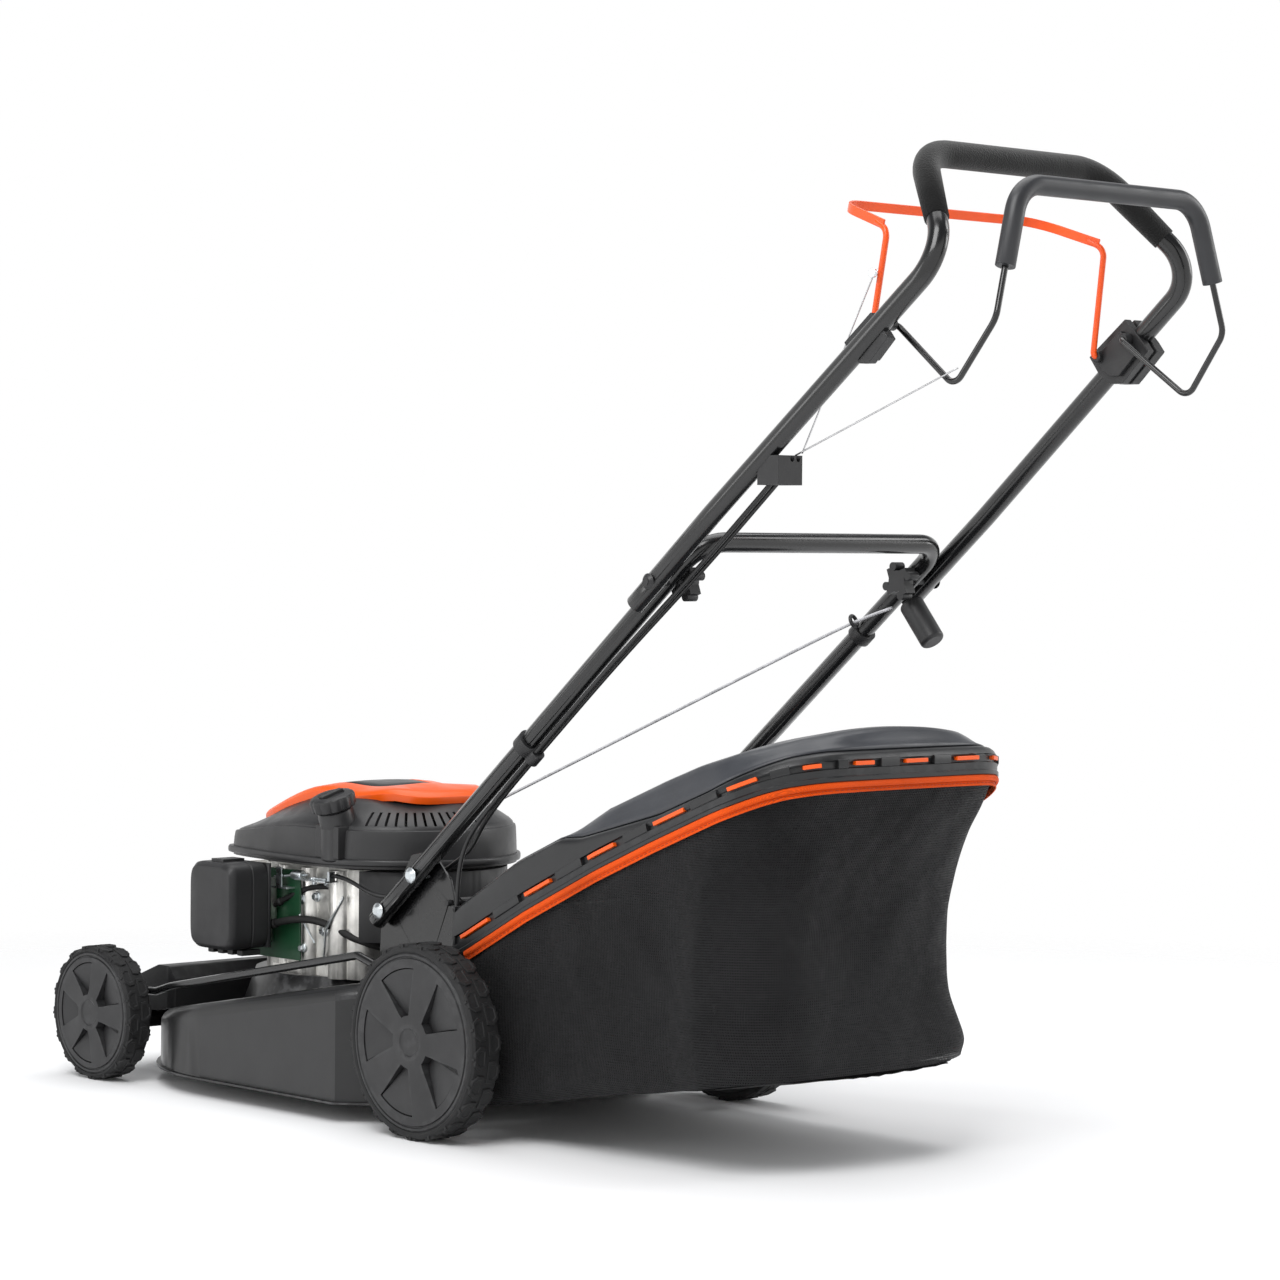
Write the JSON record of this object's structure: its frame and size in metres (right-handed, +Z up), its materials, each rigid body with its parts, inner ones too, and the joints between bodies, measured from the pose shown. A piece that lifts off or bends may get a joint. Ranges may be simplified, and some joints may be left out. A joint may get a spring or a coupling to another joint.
{
  "type": "lawn mower",
  "caption": "Self-propelled petrol rotary lawn mower with pressed deck, tube handle with two control bails, and a mesh grass bag under a moulded lid.",
  "frame": {"origin": "on the ground, at the middle of the whole mower's footprint box", "axes": "+Z up, -Y the way the mower travels, +X to the mower's left"},
  "size_m": [0.484, 1.3775, 0.9943],
  "materials": {
    "deck_paint": "satin",
    "black_plastic": "matte",
    "tube_paint": "gloss",
    "shroud_plastic": "satin",
    "orange_plastic": "gloss",
    "orange_paint": "gloss",
    "orange_trim": "woven",
    "wheel_plastic": "matte",
    "tyre_rubber": "matte",
    "foam": "matte",
    "sleeve_plastic": "satin",
    "cast_aluminium": "cast",
    "zinc_steel": "zinc plated",
    "bare_steel": "brushed",
    "green_plate": "satin",
    "cable_black": "satin",
    "rope": "braided",
    "mesh_fabric": "woven mesh",
    "filter_foam": "foam",
    "belt_rubber": "matte",
    "rusty_steel": "heat stained",
    "lid_plastic": "satin"
  },
  "bodies": {
    "chassis": {"deck": "deck_paint", "front_cover": "black_plastic", "discharge_chute": "black_plastic", "handle_brackets": "tube_paint", "bracket_bolts": "zinc_steel", "crankcase": "cast_aluminium", "cylinder_head": "cast_aluminium", "muffler": "rusty_steel", "carburettor": "cast_aluminium", "heat_shield": "green_plate", "air_filter_base": "black_plastic", "air_filter_element": "filter_foam", "fuel_tank": "black_plastic", "engine_shroud": "shroud_plastic", "engine_cover": "orange_plastic", "throttle_bracket": "zinc_steel", "lower_handle": "tube_paint", "tube_clips": "black_plastic", "starter_rope": "rope", "brake_cable": "cable_black", "drive_cable": "cable_black", "drive_belt": "belt_rubber"},
    "carrier": {"rear_carrier": "tube_paint", "gearbox_housing": "black_plastic"},
    "drive_axle": {"drive_axle": "bare_steel"},
    "gearbox_pulley": {"gearbox_pulley": "zinc_steel"},
    "front_axle": {"front_axle": "tube_paint"},
    "height_link": {"height_link": "tube_paint"},
    "wheel_rear_left": {"rim_rear_left": "wheel_plastic", "tyre_rear_left": "tyre_rubber"},
    "wheel_rear_right": {"rim_rear_right": "wheel_plastic", "tyre_rear_right": "tyre_rubber"},
    "wheel_front_left": {"rim_front_left": "wheel_plastic", "tyre_front_left": "tyre_rubber"},
    "wheel_front_right": {"rim_front_right": "wheel_plastic", "tyre_front_right": "tyre_rubber"},
    "crank": {"crankshaft": "bare_steel", "flywheel": "cast_aluminium", "blade_hub": "bare_steel", "blade": "tube_paint"},
    "recoil_pulley": {"recoil_pulley": "black_plastic"},
    "starter_grip": {"starter_grip": "black_plastic"},
    "rear_flap": {"rear_flap": "black_plastic"},
    "filter_cover": {"air_filter_cover": "black_plastic"},
    "fuel_cap": {"fuel_cap": "black_plastic"},
    "engine_brake_lever": {"engine_brake_lever": "zinc_steel"},
    "upper_handle": {"upper_handle": "tube_paint", "foam_grip": "foam", "bail_housings": "black_plastic", "cable_stopper": "black_plastic", "brake_wire": "bare_steel", "drive_wire": "bare_steel"},
    "star_knob_left": {"star_knob_left": "black_plastic"},
    "star_knob_right": {"star_knob_right": "black_plastic"},
    "brake_bail": {"brake_bail": "orange_paint"},
    "drive_bail": {"drive_bail": "tube_paint", "drive_bail_sleeve": "sleeve_plastic"},
    "grass_bag": {"bag_lid": "lid_plastic", "bag_fabric": "mesh_fabric", "bag_binding": "orange_trim"}
  },
  "joints": [
    {"name": "height_adjust", "type": "hinge", "parent": "chassis", "child": "carrier", "pos_m": [0, -0.08455, 0.0854], "axis": [1, 0, 0], "range_deg": [-55, 0], "deforming": ["drive_belt"]},
    {"name": "front_height", "type": "hinge", "parent": "chassis", "child": "front_axle", "pos_m": [0, -0.65855, 0.06], "axis": [1, 0, 0], "range_deg": [-55, 0]},
    {"name": "height_link_pivot", "type": "hinge", "parent": "front_axle", "child": "height_link", "pos_m": [0.1975, -0.67855, 0.105], "axis": [1, 0, 0], "range_deg": [0, 55]},
    {"name": "drive_axle_spin", "type": "hinge", "parent": "carrier", "child": "drive_axle", "pos_m": [0, -0.03855, 0.1016], "axis": [1, 0, 0], "continuous": true},
    {"name": "gearbox_pulley_spin", "type": "hinge", "parent": "carrier", "child": "gearbox_pulley", "pos_m": [0.01, -0.06355, 0.07], "axis": [0, 0, 1], "continuous": true},
    {"name": "wheel_rear_left_spin", "type": "hinge", "parent": "carrier", "child": "wheel_rear_left", "pos_m": [0.223, -0.03855, 0.1016], "axis": [1, 0, 0], "continuous": true},
    {"name": "wheel_front_left_spin", "type": "hinge", "parent": "front_axle", "child": "wheel_front_left", "pos_m": [0.223, -0.61255, 0.0762], "axis": [1, 0, 0], "continuous": true},
    {"name": "wheel_rear_right_spin", "type": "hinge", "parent": "carrier", "child": "wheel_rear_right", "pos_m": [-0.223, -0.03855, 0.1016], "axis": [1, 0, 0], "continuous": true},
    {"name": "wheel_front_right_spin", "type": "hinge", "parent": "front_axle", "child": "wheel_front_right", "pos_m": [-0.223, -0.61255, 0.0762], "axis": [1, 0, 0], "continuous": true},
    {"name": "crank_spin", "type": "hinge", "parent": "chassis", "child": "crank", "pos_m": [0, -0.42355, 0.15], "axis": [0, 0, 1], "continuous": true},
    {"name": "starter_pull", "type": "slide", "parent": "chassis", "child": "starter_grip", "axis": [0, 0.9023, 0.4311], "range_m": [0, 0.35], "stiffness_N_per_m": 10, "springref_m": -0.4, "deforming": ["starter_rope"]},
    {"name": "recoil_spin", "type": "hinge", "parent": "chassis", "child": "recoil_pulley", "pos_m": [0, -0.42355, 0.306], "axis": [0, 0, 1], "range_deg": [0, 480]},
    {"name": "flap_lift", "type": "hinge", "parent": "chassis", "child": "rear_flap", "pos_m": [0, -0.07055, 0.238], "axis": [1, 0, 0], "range_deg": [0, 55], "stiffness_Nm_per_rad": 0.3, "springref_deg": -57.3},
    {"name": "filter_cover_open", "type": "hinge", "parent": "chassis", "child": "filter_cover", "pos_m": [0.1388, -0.45655, 0.156], "axis": [0, 1, 0], "range_deg": [0, 45]},
    {"name": "fuel_cap_turn", "type": "hinge", "parent": "chassis", "child": "fuel_cap", "pos_m": [0.12127, -0.32155, 0.32853], "axis": [0.309, 0, 0.9511], "range_deg": [0, 90]},
    {"name": "handle_fold", "type": "hinge", "parent": "chassis", "child": "upper_handle", "pos_m": [0, 0.27245, 0.579], "axis": [1, 0, 0], "range_deg": [0, 120], "deforming": ["brake_cable", "drive_cable"]},
    {"name": "star_knob_left_turn", "type": "hinge", "parent": "chassis", "child": "star_knob_left", "pos_m": [0.153, 0.27245, 0.579], "axis": [1, 0, 0], "continuous": true},
    {"name": "star_knob_right_turn", "type": "hinge", "parent": "chassis", "child": "star_knob_right", "pos_m": [-0.153, 0.27245, 0.579], "axis": [1, 0, 0], "continuous": true},
    {"name": "brake_bail_squeeze", "type": "hinge", "parent": "upper_handle", "child": "brake_bail", "pos_m": [0, 0.52295, 0.8037], "axis": [1, 0, 0], "range_deg": [-25, 0], "stiffness_Nm_per_rad": 2, "springref_deg": 20.05, "deforming": ["brake_wire"]},
    {"name": "engine_brake_turn", "type": "hinge", "parent": "chassis", "child": "engine_brake_lever", "pos_m": [0.117, -0.35855, 0.24], "axis": [0, 0, 1], "range_deg": [-20, 0]},
    {"name": "drive_bail_squeeze", "type": "hinge", "parent": "upper_handle", "child": "drive_bail", "pos_m": [0, 0.55685, 0.8197], "axis": [1, 0, 0], "range_deg": [0, 35], "stiffness_Nm_per_rad": 2, "springref_deg": -20.05, "deforming": ["drive_wire"]},
    {"name": "bag_lift_off", "type": "slide", "parent": "chassis", "child": "grass_bag", "axis": [0, 0.8944, 0.4472], "range_m": [0, 0.35]}
  ],
  "couplings": [
    {"joint": "front_height", "follows": "height_adjust", "ratio": 1},
    {"joint": "height_link_pivot", "follows": "height_adjust", "ratio": -1},
    {"joint": "gearbox_pulley_spin", "follows": "crank_spin", "ratio": 1.4444},
    {"joint": "recoil_spin", "follows": "starter_pull", "rad_per_m": 23.81},
    {"joint": "engine_brake_turn", "follows": "brake_bail_squeeze", "ratio": 0.8}
  ]
}
